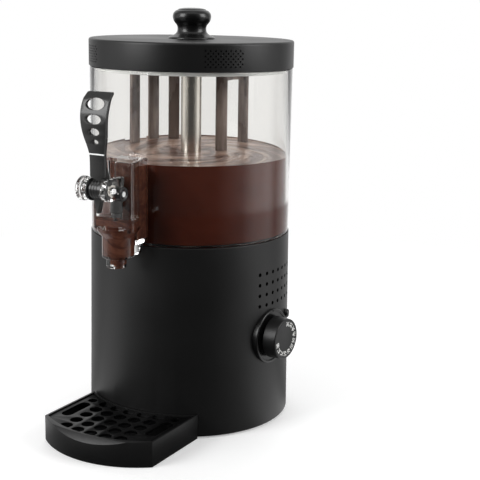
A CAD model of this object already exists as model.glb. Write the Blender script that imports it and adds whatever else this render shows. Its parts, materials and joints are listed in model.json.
"""Looks of a table-top hot chocolate dispenser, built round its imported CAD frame.

Sizes are in metres. Each sub-assembly is modelled round the drum axis, with the front towards -Y and angles
counted from the front towards +X, and is then moved to the place that the frame gives for that axis.
"""
from __future__ import annotations

import json
import logging
import math
from dataclasses import dataclass
from enum import Enum
from typing import Callable, Sequence

import bmesh
import bpy
from mathutils import Matrix, Vector

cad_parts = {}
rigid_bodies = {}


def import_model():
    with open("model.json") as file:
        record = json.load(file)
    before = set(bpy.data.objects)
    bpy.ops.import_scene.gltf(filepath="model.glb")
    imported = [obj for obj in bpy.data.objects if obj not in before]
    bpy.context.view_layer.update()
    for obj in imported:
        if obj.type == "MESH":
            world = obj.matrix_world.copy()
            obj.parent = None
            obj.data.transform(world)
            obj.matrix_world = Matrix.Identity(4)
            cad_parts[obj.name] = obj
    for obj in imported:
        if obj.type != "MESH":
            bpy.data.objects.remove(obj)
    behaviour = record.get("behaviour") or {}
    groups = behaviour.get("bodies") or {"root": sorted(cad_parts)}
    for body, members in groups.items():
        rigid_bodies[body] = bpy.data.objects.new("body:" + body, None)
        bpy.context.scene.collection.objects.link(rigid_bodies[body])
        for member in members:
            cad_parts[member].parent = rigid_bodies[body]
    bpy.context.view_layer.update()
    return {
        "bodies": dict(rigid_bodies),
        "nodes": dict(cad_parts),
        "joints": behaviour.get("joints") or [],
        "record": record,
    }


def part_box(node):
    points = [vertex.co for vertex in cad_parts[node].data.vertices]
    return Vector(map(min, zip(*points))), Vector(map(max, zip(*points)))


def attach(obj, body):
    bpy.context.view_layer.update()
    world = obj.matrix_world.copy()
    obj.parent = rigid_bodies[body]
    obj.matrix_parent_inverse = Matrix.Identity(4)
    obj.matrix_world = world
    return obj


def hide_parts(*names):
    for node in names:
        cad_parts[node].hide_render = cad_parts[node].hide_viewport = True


LOG = logging.getLogger("dispenser")

WELD = 1e-6
SKIN = 0.00005
OVERSHOOT = 0.003
FULL_TURN = 2.0 * math.pi
QUARTER_TURN = math.pi / 2.0

Colour = tuple[float, float, float]
Point = tuple[float, float]
Outline = list[Point]


class Plane(Enum):
    """The plane that a flat outline is drawn in."""

    PLAN = "plan"
    SIDE = "side"
    FRONT = "front"

    @property
    def matrix(self) -> Matrix:
        """Turns an outline drawn in XY, with its height along Z, into this plane."""
        if self is Plane.SIDE:
            return Matrix(((0, 0, 1, 0), (1, 0, 0, 0), (0, 1, 0, 0), (0, 0, 0, 1)))
        if self is Plane.FRONT:
            return Matrix.Rotation(QUARTER_TURN, 4, "X")
        return Matrix.Identity(4)


class Operation(Enum):
    """How one closed shape acts on another."""

    CUT = "DIFFERENCE"
    JOIN = "UNION"


class Body(Enum):
    """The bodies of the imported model."""

    BASE = "base"
    STIRRER = "stirrer"
    DIAL = "dial"
    TANK = "tank"
    LID = "lid"
    LEVER = "lever"
    VALVE = "valve"
    TRAY = "tray"
    GRID = "grid"


def polar(angle: float, radius: float) -> Point:
    """Point on a circle round the drum axis.

    Args:
        angle: Degrees from the front towards +X.
        radius: Distance from the axis.

    Returns:
        The point's x and y.
    """
    turn = math.radians(angle)
    return radius * math.sin(turn), -radius * math.cos(turn)


def arc(centre: Point, radius: float, start: float, end: float, count: int) -> Outline:
    """Points on an arc, both ends included.

    Args:
        centre: The arc's centre.
        radius: Its radius.
        start: First angle in degrees.
        end: Last angle in degrees.
        count: Number of steps.

    Returns:
        The points in order.
    """
    turns = [math.radians(start + (end - start) * step / count) for step in range(count + 1)]
    return [(centre[0] + radius * math.cos(turn), centre[1] + radius * math.sin(turn)) for turn in turns]


def softened(corners: Sequence[tuple[float, ...]], closed: bool = True, steps: int = 5) -> Outline:
    """Round the corners of an outline.

    Args:
        corners: (across, up) or (across, up, radius) for each corner.
        closed: Whether the last corner joins the first.
        steps: Steps on each rounded corner.

    Returns:
        The outline's points.
    """
    points: Outline = []
    for index, corner in enumerate(corners):
        here = Vector(corner[:2])
        inner = closed or 0 < index < len(corners) - 1
        if len(corner) < 3 or not inner:
            points.append((here.x, here.y))
            continue
        before = Vector(corners[index - 1][:2]) - here
        after = Vector(corners[(index + 1) % len(corners)][:2]) - here
        half = before.angle(after) / 2.0
        reach = min(corner[2] / math.tan(half), before.length * 0.48, after.length * 0.48)
        first = here + before.normalized() * reach
        last = here + after.normalized() * reach
        for step in range(steps + 1):
            share = step / steps
            spot = first.lerp(here, share).lerp(here.lerp(last, share), share)
            points.append((spot.x, spot.y))
    return points


def smooth_table(keys: Sequence[float], values: Sequence[float], count: int) -> Outline:
    """Fine pairs of key and value through a coarse table, on Catmull-Rom curves.

    Args:
        keys: Rising keys.
        values: The value at each key.
        count: Steps between two keys.

    Returns:
        Pairs of key and value.
    """
    pairs: Outline = []
    last = len(keys) - 1
    for index in range(last):
        ends = [max(index - 1, 0), index, index + 1, min(index + 2, last)]
        for step in range(count):
            share = step / count
            square, cube = share * share, share * share * share
            weights = (-0.5 * cube + square - 0.5 * share, 1.5 * cube - 2.5 * square + 1.0,
                       -1.5 * cube + 2.0 * square + 0.5 * share, 0.5 * cube - 0.5 * square)
            value = sum(weight * values[end] for weight, end in zip(weights, ends))
            pairs.append((keys[index] + (keys[index + 1] - keys[index]) * share, value))
    pairs.append((keys[last], values[last]))
    return pairs


def table_value(pairs: Outline, key: float) -> float:
    """Value at a key on a fine table of rising keys."""
    if key <= pairs[0][0]:
        return pairs[0][1]
    for (low, first), (high, second) in zip(pairs, pairs[1:]):
        if key <= high:
            return first + (second - first) * (key - low) / (high - low)
    return pairs[-1][1]


class Shape:
    """A closed mesh under construction."""

    def __init__(self, mesh: bpy.types.Mesh | None = None) -> None:
        """Start empty, or from a mesh."""
        self.bm = bmesh.new()
        if mesh is not None:
            self.bm.from_mesh(mesh)

    @classmethod
    def turned(cls, outline: Outline, steps: int = 96, closed: bool = True) -> Shape:
        """Spin an outline round the Z axis.

        Args:
            outline: (radius, height) points.
            steps: Steps of the full turn.
            closed: Whether the last point joins the first; both lie on the axis if it doesn't.

        Returns:
            The turned shape.
        """
        shape = cls()
        ring = [shape.bm.verts.new((radius, 0.0, height)) for radius, height in outline]
        edges = [shape.bm.edges.new(pair) for pair in zip(ring, ring[1:])]
        if closed:
            edges.append(shape.bm.edges.new((ring[-1], ring[0])))
        bmesh.ops.spin(shape.bm, geom=ring + edges, cent=(0.0, 0.0, 0.0), axis=(0.0, 0.0, 1.0),
                       angle=FULL_TURN, steps=steps, use_merge=True)
        return shape.healed()

    @classmethod
    def plate(cls, outline: Outline, low: float, high: float, plane: Plane = Plane.PLAN) -> Shape:
        """Raise a flat outline from low to high.

        Args:
            outline: Points in the plane.
            low: Where the plate starts across the plane.
            high: Where it ends.
            plane: The plane it is drawn in.

        Returns:
            The plate.
        """
        shape = cls()
        face = shape.bm.faces.new([shape.bm.verts.new((x, y, low)) for x, y in outline])
        raised = bmesh.ops.extrude_face_region(shape.bm, geom=[face])
        tops = [item for item in raised["geom"] if isinstance(item, bmesh.types.BMVert)]
        bmesh.ops.translate(shape.bm, verts=tops, vec=(0.0, 0.0, high - low))
        bmesh.ops.holes_fill(shape.bm, edges=[edge for edge in shape.bm.edges if edge.is_boundary])
        return shape.moved(plane.matrix).healed()

    @classmethod
    def block(cls, low: Sequence[float], high: Sequence[float]) -> Shape:
        """A box between two corners."""
        shape = cls()
        size = [b - a for a, b in zip(low, high)]
        middle = [(a + b) / 2.0 for a, b in zip(low, high)]
        place = Matrix.Translation(middle) @ Matrix.Diagonal((*size, 1.0))
        bmesh.ops.create_cube(shape.bm, size=1.0, matrix=place)
        return shape

    @classmethod
    def rod(cls, radius: float, low: float, high: float, place: Matrix, sides: int = 32) -> Shape:
        """A cylinder along the local Z of a place."""
        shape = cls()
        middle = Matrix.Translation((0.0, 0.0, (low + high) / 2.0))
        bmesh.ops.create_cone(shape.bm, cap_ends=True, segments=sides, radius1=radius, radius2=radius,
                              depth=high - low, matrix=place @ middle)
        return shape

    def healed(self) -> Shape:
        """Merge doubles and turn every face outwards."""
        bmesh.ops.remove_doubles(self.bm, verts=self.bm.verts, dist=WELD)
        bmesh.ops.recalc_face_normals(self.bm, faces=self.bm.faces)
        return self

    def moved(self, matrix: Matrix) -> Shape:
        """Transform the whole shape."""
        bmesh.ops.transform(self.bm, matrix=matrix, verts=self.bm.verts)
        return self

    def rounded(self, radius: float, steps: int = 3, limit: float = 30.0,
                chosen: Callable[[bmesh.types.BMEdge], bool] | None = None) -> Shape:
        """Bevel the sharp edges.

        Args:
            radius: Width of the bevel.
            steps: Its segments.
            limit: Edges that bend by more than this many degrees are sharp.
            chosen: Picks among the sharp edges.

        Returns:
            The same shape.
        """
        bend = math.radians(limit)
        sharp = [edge for edge in self.bm.edges if len(edge.link_faces) == 2
                 and edge.calc_face_angle() > bend and (chosen is None or chosen(edge))]
        bmesh.ops.bevel(self.bm, geom=sharp, offset=radius, offset_type="OFFSET", segments=steps, profile=0.5,
                        affect="EDGES", material=-1, clamp_overlap=True)
        return self

    def added(self, other: Shape) -> Shape:
        """Take in another shape's faces without joining the two."""
        mesh = other.to_mesh("part")
        self.bm.from_mesh(mesh)
        bpy.data.meshes.remove(mesh)
        return self

    def combined(self, other: Shape, operation: Operation) -> Shape:
        """Cut another shape out of this one, or join it on.

        Args:
            other: The other closed shape.
            operation: What it does.

        Returns:
            The new shape.
        """
        holders = []
        for name, shape in (("work", self), ("tool", other)):
            holder = bpy.data.objects.new(name, shape.to_mesh(name))
            bpy.context.scene.collection.objects.link(holder)
            holders.append(holder)
        step = holders[0].modifiers.new("combine", "BOOLEAN")
        step.operation = operation.value
        step.solver = "EXACT"
        step.object = holders[1]
        bpy.context.view_layer.update()
        graph = bpy.context.evaluated_depsgraph_get()
        made = bpy.data.meshes.new_from_object(holders[0].evaluated_get(graph))
        for holder in holders:
            mesh = holder.data
            bpy.data.objects.remove(holder, do_unlink=True)
            bpy.data.meshes.remove(mesh)
        result = Shape(made)
        bpy.data.meshes.remove(made)
        bmesh.ops.remove_doubles(result.bm, verts=result.bm.verts, dist=WELD)
        return result

    def cut(self, other: Shape) -> Shape:
        """This shape without another."""
        return self.combined(other, Operation.CUT)

    def joined(self, other: Shape) -> Shape:
        """This shape and another in one."""
        return self.combined(other, Operation.JOIN)

    def to_mesh(self, name: str) -> bpy.types.Mesh:
        """Write the shape to a new mesh."""
        mesh = bpy.data.meshes.new(name)
        self.bm.to_mesh(mesh)
        return mesh


Socket = bpy.types.NodeSocket


def add_node(tree: bpy.types.NodeTree, kind: str, inputs: dict | None = None,
             **settings: object) -> bpy.types.Node:
    """Add a node and set it up.

    Args:
        tree: The tree it goes into.
        kind: The node's type name without its ShaderNode prefix.
        inputs: Values or sockets by input name or index.
        settings: Properties of the node itself.

    Returns:
        The node.
    """
    node = tree.nodes.new("ShaderNode" + kind)
    for key, value in settings.items():
        setattr(node, key, value)
    for key, value in (inputs or {}).items():
        if isinstance(value, Socket):
            tree.links.new(value, node.inputs[key])
        else:
            node.inputs[key].default_value = value
    return node


def blend_colours(tree: bpy.types.NodeTree, factor: Socket, first: Colour, second: Colour) -> Socket:
    """Mix two colours by a mask."""
    node = add_node(tree, "Mix", {0: factor, 6: (*first, 1.0), 7: (*second, 1.0)}, data_type="RGBA")
    return node.outputs[2]


def stretched(tree: bpy.types.NodeTree, value: Socket, low: float, high: float,
              start: float = 0.0, end: float = 1.0) -> Socket:
    """Map a value between two limits to low and high."""
    node = add_node(tree, "MapRange", {0: value, 1: start, 2: end, 3: low, 4: high})
    return node.outputs[0]


class Effects:
    """Node groups that several finishes share, each built once."""

    def __init__(self) -> None:
        """Start with no group built."""
        self.built: dict[str, bpy.types.NodeTree] = {}

    def open(self, name: str, inputs: dict[str, float], outputs: Sequence[str]) -> bpy.types.NodeTree:
        """Make an empty group with float inputs and outputs."""
        group = bpy.data.node_groups.new(name, "ShaderNodeTree")
        for label, value in inputs.items():
            socket = group.interface.new_socket(label, in_out="INPUT", socket_type="NodeSocketFloat")
            socket.default_value = value
        for label in outputs:
            group.interface.new_socket(label, in_out="OUTPUT", socket_type="NodeSocketFloat")
        group.nodes.new("NodeGroupInput")
        group.nodes.new("NodeGroupOutput")
        self.built[name] = group
        return group

    def grain(self) -> bpy.types.NodeTree:
        """Fine moulding grain and slow clouds over a surface."""
        if "moulding_grain" in self.built:
            return self.built["moulding_grain"]
        group = self.open("moulding_grain", {"Grain Size": 4000.0, "Cloud Size": 12.0}, ("Grain", "Cloud"))
        start, end = group.nodes[0], group.nodes[1]
        spot = add_node(group, "TexCoord").outputs["Object"]
        fine = add_node(group, "TexNoise", {"Vector": spot, "Scale": start.outputs[0], "Detail": 2.0})
        slow = add_node(group, "TexNoise", {"Vector": spot, "Scale": start.outputs[1], "Detail": 3.0})
        group.links.new(fine.outputs["Fac"], end.inputs[0])
        group.links.new(stretched(group, slow.outputs["Fac"], 0.0, 1.0, 0.3, 0.7), end.inputs[1])
        return group

    def streaks(self) -> bpy.types.NodeTree:
        """Upright streaks that break into clouds."""
        if "upright_streaks" in self.built:
            return self.built["upright_streaks"]
        group = self.open("upright_streaks", {"Across": 400.0, "Along": 12.0}, ("Streak", "Cloud"))
        start, end = group.nodes[0], group.nodes[1]
        spot = add_node(group, "TexCoord").outputs["Object"]
        scale = add_node(group, "CombineXYZ", {0: start.outputs[0], 1: start.outputs[0], 2: start.outputs[1]})
        placed = add_node(group, "VectorMath", {0: spot, 1: scale.outputs[0]}, operation="MULTIPLY")
        streak = add_node(group, "TexNoise", {"Vector": placed.outputs[0], "Scale": 1.0, "Detail": 4.0})
        drawn = add_node(group, "VectorMath", {0: spot, 1: (1.0, 1.0, 0.3)}, operation="MULTIPLY").outputs[0]
        cloud = add_node(group, "TexNoise", {"Vector": drawn, "Scale": 55.0, "Detail": 5.0,
                                             "Distortion": 0.3})
        group.links.new(streak.outputs["Fac"], end.inputs[0])
        group.links.new(stretched(group, cloud.outputs["Fac"], 0.0, 1.0, 0.4, 0.65), end.inputs[1])
        return group

    def swirl(self, axis: Vector) -> bpy.types.NodeTree:
        """Long curved streaks round the stirrer, as a stirred drink shows them."""
        if "stirred_swirl" in self.built:
            return self.built["stirred_swirl"]
        group = self.open("stirred_swirl", {"Twist": 60.0, "Size": 42.0}, ("Swirl", "Fine"))
        start, end = group.nodes[0], group.nodes[1]
        spot = add_node(group, "TexCoord").outputs["Object"]
        local = add_node(group, "VectorMath", {0: spot, 1: axis}, operation="SUBTRACT").outputs[0]
        distance = add_node(group, "VectorMath", {0: local}, operation="LENGTH").outputs[1]
        angle = add_node(group, "Math", {0: distance, 1: start.outputs[0]}, operation="MULTIPLY").outputs[0]
        turned = add_node(group, "VectorRotate", {"Vector": local, "Angle": angle}, rotation_type="Z_AXIS")
        broad = add_node(group, "TexNoise", {"Vector": turned.outputs[0], "Scale": start.outputs[1],
                                             "Detail": 4.0, "Distortion": 0.6})
        fine = add_node(group, "TexNoise", {"Vector": turned.outputs[0], "Scale": 210.0, "Detail": 4.0})
        group.links.new(stretched(group, broad.outputs["Fac"], 0.0, 1.0, 0.42, 0.62), end.inputs[0])
        group.links.new(fine.outputs["Fac"], end.inputs[1])
        return group


def new_material(name: str) -> tuple[bpy.types.Material, bpy.types.NodeTree, bpy.types.Node]:
    """Make a material with a bare Principled shader.

    Args:
        name: The material's name.

    Returns:
        The material, its tree and the shader.
    """
    material = bpy.data.materials.new(name)
    material.use_nodes = True
    tree = material.node_tree
    return material, tree, tree.nodes["Principled BSDF"]


def use_group(tree: bpy.types.NodeTree, group: bpy.types.NodeTree, **values: float) -> bpy.types.Node:
    """Place a shared group in a material with its own values."""
    node = add_node(tree, "Group", node_tree=group)
    for label, value in values.items():
        node.inputs[label.replace("_", " ")].default_value = value
    return node


def bump_from(tree: bpy.types.NodeTree, shader: bpy.types.Node, height: Socket, depth: float) -> None:
    """Roughen a shader's normal by a height.

    Args:
        tree: The material's tree.
        shader: The Principled shader.
        height: The height mask.
        depth: Distance between its lowest and highest points.
    """
    bump = add_node(tree, "Bump", {"Height": height, "Distance": depth})
    tree.links.new(bump.outputs[0], shader.inputs["Normal"])


@dataclass(frozen=True)
class MouldedPlastic:
    """An opaque moulded plastic or rubber with fine grain."""

    name: str
    slot: str
    colour: Colour
    roughness: float
    spread: float = 0.05
    grain_size: float = 4200.0
    grain_depth: float = 0.00002
    specular: float = 0.5

    def build(self, effects: Effects) -> bpy.types.Material:
        """Make the material."""
        material, tree, shader = new_material(self.name)
        grain = use_group(tree, effects.grain(), Grain_Size=self.grain_size)
        darker = tuple(0.86 * part for part in self.colour)
        lighter = tuple(1.14 * part for part in self.colour)
        tree.links.new(blend_colours(tree, grain.outputs["Cloud"], darker, lighter),
                       shader.inputs["Base Color"])
        rough = stretched(tree, grain.outputs["Cloud"], self.roughness - self.spread,
                          self.roughness + self.spread)
        tree.links.new(rough, shader.inputs["Roughness"])
        shader.inputs["Specular IOR Level"].default_value = self.specular
        bump_from(tree, shader, grain.outputs["Grain"], self.grain_depth)
        return material


@dataclass(frozen=True)
class ClearPlastic:
    """A clear polished plastic."""

    name: str
    slot: str
    colour: Colour = (0.97, 0.975, 0.97)
    roughness: float = 0.0
    bend: float = 1.49
    specular: float = 0.5

    def build(self, effects: Effects) -> bpy.types.Material:
        """Make the material."""
        material, tree, shader = new_material(self.name)
        grain = use_group(tree, effects.grain(), Grain_Size=60.0, Cloud_Size=30.0)
        shader.inputs["Base Color"].default_value = (*self.colour, 1.0)
        shader.inputs["IOR"].default_value = self.bend
        shader.inputs["Specular IOR Level"].default_value = self.specular
        shader.inputs["Transmission Weight"].default_value = 1.0
        rough = stretched(tree, grain.outputs["Cloud"], self.roughness, self.roughness + 0.015)
        tree.links.new(rough, shader.inputs["Roughness"])
        lit = add_node(tree, "BsdfTransparent", {"Color": (*self.colour, 1.0)})
        mixed = add_node(tree, "MixShader", {0: add_node(tree, "LightPath").outputs["Is Shadow Ray"],
                                             1: shader.outputs[0], 2: lit.outputs[0]})
        tree.links.new(mixed.outputs[0], tree.nodes["Material Output"].inputs[0])
        return material


@dataclass(frozen=True)
class BrightSteel:
    """Polished steel with faint upright brushing."""

    name: str
    slot: str
    colour: Colour = (0.84, 0.8, 0.74)
    roughness: float = 0.14

    def build(self, effects: Effects) -> bpy.types.Material:
        """Make the material."""
        material, tree, shader = new_material(self.name)
        streaks = use_group(tree, effects.streaks(), Across=1400.0, Along=20.0)
        shader.inputs["Metallic"].default_value = 1.0
        darker = tuple(0.9 * part for part in self.colour)
        tree.links.new(blend_colours(tree, streaks.outputs["Cloud"], self.colour, darker),
                       shader.inputs["Base Color"])
        rough = stretched(tree, streaks.outputs["Streak"], self.roughness, self.roughness + 0.12)
        tree.links.new(rough, shader.inputs["Roughness"])
        return material


@dataclass(frozen=True)
class FilmedPlastic:
    """Smoked plastic with a thin uneven film of drink on it."""

    name: str
    slot: str
    dark: Colour = (0.1, 0.068, 0.056)
    light: Colour = (0.3, 0.235, 0.205)
    roughness: float = 0.22

    def build(self, effects: Effects) -> bpy.types.Material:
        """Make the material."""
        material, tree, shader = new_material(self.name)
        streaks = use_group(tree, effects.streaks(), Across=330.0, Along=26.0)
        mask = add_node(tree, "Math", {0: streaks.outputs["Streak"], 1: streaks.outputs["Cloud"]},
                        operation="MULTIPLY").outputs[0]
        share = stretched(tree, mask, 0.0, 1.0, 0.05, 0.55)
        tree.links.new(blend_colours(tree, share, self.dark, self.light), shader.inputs["Base Color"])
        rough = stretched(tree, streaks.outputs["Cloud"], self.roughness, self.roughness + 0.25)
        tree.links.new(rough, shader.inputs["Roughness"])
        bump_from(tree, shader, streaks.outputs["Streak"], 0.0001)
        return material


@dataclass(frozen=True)
class Chocolate:
    """The drink, at its open surface or where it lies against a wall."""

    name: str
    slot: str
    dark: Colour
    light: Colour
    roughness: float
    specular: float
    twist: float
    depth: float
    axis: tuple[float, float, float]
    size: float = 42.0

    def build(self, effects: Effects) -> bpy.types.Material:
        """Make the material."""
        material, tree, shader = new_material(self.name)
        swirl = use_group(tree, effects.swirl(Vector(self.axis)), Twist=self.twist, Size=self.size)
        tree.links.new(blend_colours(tree, swirl.outputs["Swirl"], self.dark, self.light),
                       shader.inputs["Base Color"])
        rough = stretched(tree, swirl.outputs["Fine"], self.roughness, self.roughness + 0.1)
        tree.links.new(rough, shader.inputs["Roughness"])
        shader.inputs["Specular IOR Level"].default_value = self.specular
        height = add_node(tree, "Math", {0: swirl.outputs["Fine"], 1: swirl.outputs["Swirl"]},
                          operation="ADD")
        bump_from(tree, shader, height.outputs[0], self.depth)
        return material


Finish = MouldedPlastic | ClearPlastic | BrightSteel | FilmedPlastic | Chocolate


class Bench:
    """Turns finished shapes into pieces that ride on the frame's bodies."""

    def __init__(self) -> None:
        """Find the drum axis and make room for the materials."""
        low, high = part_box("base_plate")
        self.axis = Vector(((low[0] + high[0]) / 2.0, (low[1] + high[1]) / 2.0, 0.0))
        self.effects = Effects()
        self.materials: dict[str, bpy.types.Material] = {}

    def material(self, finish: Finish) -> bpy.types.Material:
        """Give a finish's material, made on first use."""
        if finish.name not in self.materials:
            self.materials[finish.name] = finish.build(self.effects)
        return self.materials[finish.name]

    def piece(self, name: str, shape: Shape, body: Body, finish: Finish, replaces: Sequence[str] = (),
              smooth: float = 32.0) -> bpy.types.Object:
        """Make a piece from a shape that is placed round the drum axis.

        Args:
            name: The piece's name.
            shape: Its shape.
            body: The body that it rides on.
            finish: Its finish.
            replaces: CAD nodes that it stands for.
            smooth: Edges that bend by less than this many degrees are shaded smooth.

        Returns:
            The piece's object.
        """
        mesh = shape.moved(Matrix.Translation(self.axis)).to_mesh(name)
        mesh.shade_smooth()
        mesh.set_sharp_from_angle(angle=math.radians(smooth))
        mesh.materials.append(self.material(finish))
        made = bpy.data.objects.new(name, mesh)
        bpy.context.scene.collection.objects.link(made)
        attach(made, body.value)
        if replaces:
            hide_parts(*replaces)
        LOG.info("%s: %d faces on %s", name, len(mesh.polygons), body.value)
        return made

    def dress(self, nodes: Sequence[str], finish: Finish, frame: dict) -> None:
        """Give CAD nodes a finish and leave their meshes alone."""
        for node in nodes:
            for slot in frame["nodes"][node].material_slots:
                slot.material = self.material(finish)


MATTE_BLACK = MouldedPlastic("matte_black_plastic", "black_plastic", (0.0045, 0.0045, 0.0046), 0.4,
                             specular=0.4)
GRID_BLACK = MouldedPlastic("satin_black_grid", "black_plastic", (0.0015, 0.0015, 0.0016), 0.32, 0.04,
                            specular=0.12)
LEVER_BLACK = MouldedPlastic("satin_black_lever", "black_plastic", (0.014, 0.0138, 0.0134), 0.26)
GLOSS_BLACK = MouldedPlastic("gloss_black_plastic", "gloss_black_plastic", (0.003, 0.003, 0.0031), 0.27, 0.03,
                             grain_depth=0.000004)
GREY_PLASTIC = MouldedPlastic("grey_technical_plastic", "grey_plastic", (0.3, 0.3, 0.31), 0.5)
PALE_PLASTIC = MouldedPlastic("pale_technical_plastic", "pale_plastic", (0.75, 0.76, 0.75), 0.5)
PALE_RUBBER = MouldedPlastic("pale_silicone", "pale_rubber", (0.78, 0.79, 0.78), 0.45)
BLACK_RUBBER = MouldedPlastic("black_rubber_skin", "black_rubber", (0.012, 0.012, 0.012), 0.7)
WHITE_PRINT = MouldedPlastic("white_print", "pale_plastic", (0.72, 0.72, 0.7), 0.5)
PALE_BAND = MouldedPlastic("pale_lever_band", "pale_plastic", (0.85, 0.86, 0.85), 0.35)
CLEAR_TANK = ClearPlastic("clear_tank_plastic", "clear_plastic", (0.935, 0.93, 0.915), specular=0.2)
CLEAR_TAP = ClearPlastic("clear_tap_plastic", "clear_plastic", (0.97, 0.97, 0.96), 0.01)
STEEL = BrightSteel("bright_steel_skin", "bright_steel")
SMOKED = FilmedPlastic("smoked_blade_plastic", "smoked_plastic")


@dataclass
class DrumBase:
    """The black drum with its vents, feet, inlet and pilot lamp."""

    bench: Bench
    bottom_radius: float = 0.0915
    top_radius: float = 0.0895
    bottom: float = 0.0015
    seam: float = 0.168
    wall: float = 0.0026
    edge: float = 0.0022
    ledge_top: float = 0.157
    ledge_thickness: float = 0.003
    ledge_inner: float = 0.072
    vent_radius: float = 0.0017
    vent_columns: int = 7
    vent_rows: int = 4
    vent_start: float = 74.25
    vent_turn: float = 5.75
    vent_top: float = 0.14
    vent_pitch: float = 0.0094
    slot_across: float = 0.03
    slot_half: float = 0.0076
    slot_low: float = 0.0084
    slot_high: float = 0.0126
    inlet_height: float = 0.024
    lamp_angle: float = 105.0
    lamp_height: float = 0.0946
    foot_ring: float = 0.071
    foot_radius: float = 0.0075

    def radius_at(self, height: float) -> float:
        """Outer radius of the drafted drum at a height."""
        share = (height - self.bottom) / (self.seam - self.bottom)
        return self.bottom_radius + share * (self.top_radius - self.bottom_radius)

    def outward(self, angle: float, height: float) -> Matrix:
        """A place on the axis whose local Z points outwards at an angle."""
        return (Matrix.Translation((0.0, 0.0, height)) @ Matrix.Rotation(math.radians(angle), 4, "Z")
                @ Matrix.Rotation(QUARTER_TURN, 4, "X"))

    def case(self) -> Shape:
        """The drum's shell with its holes."""
        inner_top = self.top_radius - self.wall
        inner_bottom = self.bottom_radius - self.wall
        under = self.ledge_top - self.ledge_thickness
        outline = softened([
            (self.top_radius, self.seam, 0.0006), (self.bottom_radius, self.bottom, self.edge),
            (inner_bottom, self.bottom, 0.0008), (inner_top, under), (self.ledge_inner, under),
            (self.ledge_inner, self.ledge_top), (inner_top, self.ledge_top), (inner_top, self.seam, 0.0006)])
        shell = Shape.turned(outline, 256)
        holes = Shape()
        for column in range(self.vent_columns):
            for row in range(self.vent_rows):
                place = self.outward(self.vent_start + self.vent_turn * column,
                                     self.vent_top - self.vent_pitch * row)
                holes.added(Shape.rod(self.vent_radius, self.top_radius - OVERSHOOT - self.wall,
                                      self.bottom_radius + OVERSHOOT, place, 20))
        for angle, height, radius in ((84.0, 0.0824, 0.005), (self.lamp_angle, self.lamp_height, 0.0033),
                                      (180.0, self.inlet_height, 0.0058)):
            holes.added(Shape.rod(radius, self.top_radius - OVERSHOOT - self.wall,
                                  self.bottom_radius + OVERSHOOT,
                                  self.outward(angle, height)))
        for side in (-1.0, 1.0):
            middle = side * self.slot_across
            holes.added(Shape.block((middle - self.slot_half, -self.bottom_radius - OVERSHOOT, self.slot_low),
                                    (middle + self.slot_half, -self.bottom_radius + 0.012, self.slot_high)))
        return shell.cut(holes)

    def build(self, frame: dict) -> None:
        """Make and dress the base's pieces."""
        self.bench.piece("drum_case", self.case(), Body.BASE, MATTE_BLACK, ["base_shell"])
        for number, angle in enumerate((38.0, 142.0, 218.0, 322.0), 1):
            pad = softened([(0.0, 0.0042), (self.foot_radius, 0.0042, 0.0006),
                            (self.foot_radius, 0.0, 0.0012),
                            (0.0, 0.0)], closed=False)
            x, y = polar(angle, self.foot_ring)
            foot = Shape.turned(pad, 48, closed=False).moved(Matrix.Translation((x, y, 0.0)))
            self.bench.piece("foot_pad_%d" % number, foot, Body.BASE, BLACK_RUBBER, ["foot_%d" % number])
        wall = self.radius_at(self.lamp_height)
        lens = softened([(0.0, wall + 0.0035), (0.0036, wall + 0.0033, 0.002),
                         (0.0042, wall + 0.0003, 0.0002),
                         (0.003, wall + 0.0003), (0.003, wall - 0.009), (0.0, wall - 0.009)], closed=False)
        lamp = Shape.turned(lens, 40, closed=False).moved(self.outward(self.lamp_angle, self.lamp_height))
        self.bench.piece("lamp_lens", lamp, Body.BASE, GLOSS_BLACK, ["pilot_lamp"])
        wall = self.radius_at(self.inlet_height)
        bush = softened([(0.008, wall + 0.0028, 0.0012), (0.008, wall + 0.0003), (0.0055, wall + 0.0003),
                         (0.0055, wall - 0.007), (0.0036, wall - 0.007), (0.0036, wall + 0.0028, 0.0008)])
        inlet = Shape.turned(bush, 48).moved(self.outward(180.0, self.inlet_height))
        self.bench.piece("cord_bush", inlet, Body.BASE, BLACK_RUBBER, ["cable_inlet"])
        dress = self.bench.dress
        dress(["base_plate"], MATTE_BLACK, frame)
        dress(["base_screw_1", "base_screw_2", "base_screw_3", "motor_plate", "motor_plate_screw_1",
               "motor_plate_screw_2", "motor_plate_screw_3", "motor", "drive_shaft", "warming_plate",
               "heating_element", "dial_spindle", "dial_nut"], STEEL, frame)
        dress(["gearbox", "drive_dog", "thermostat", "dial_switch"], GREY_PLASTIC, frame)
        dress(["terminal_block"], PALE_PLASTIC, frame)
        dress(["shaft_seal"], BLACK_RUBBER, frame)
        dress(["tank_seal"], PALE_RUBBER, frame)


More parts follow.
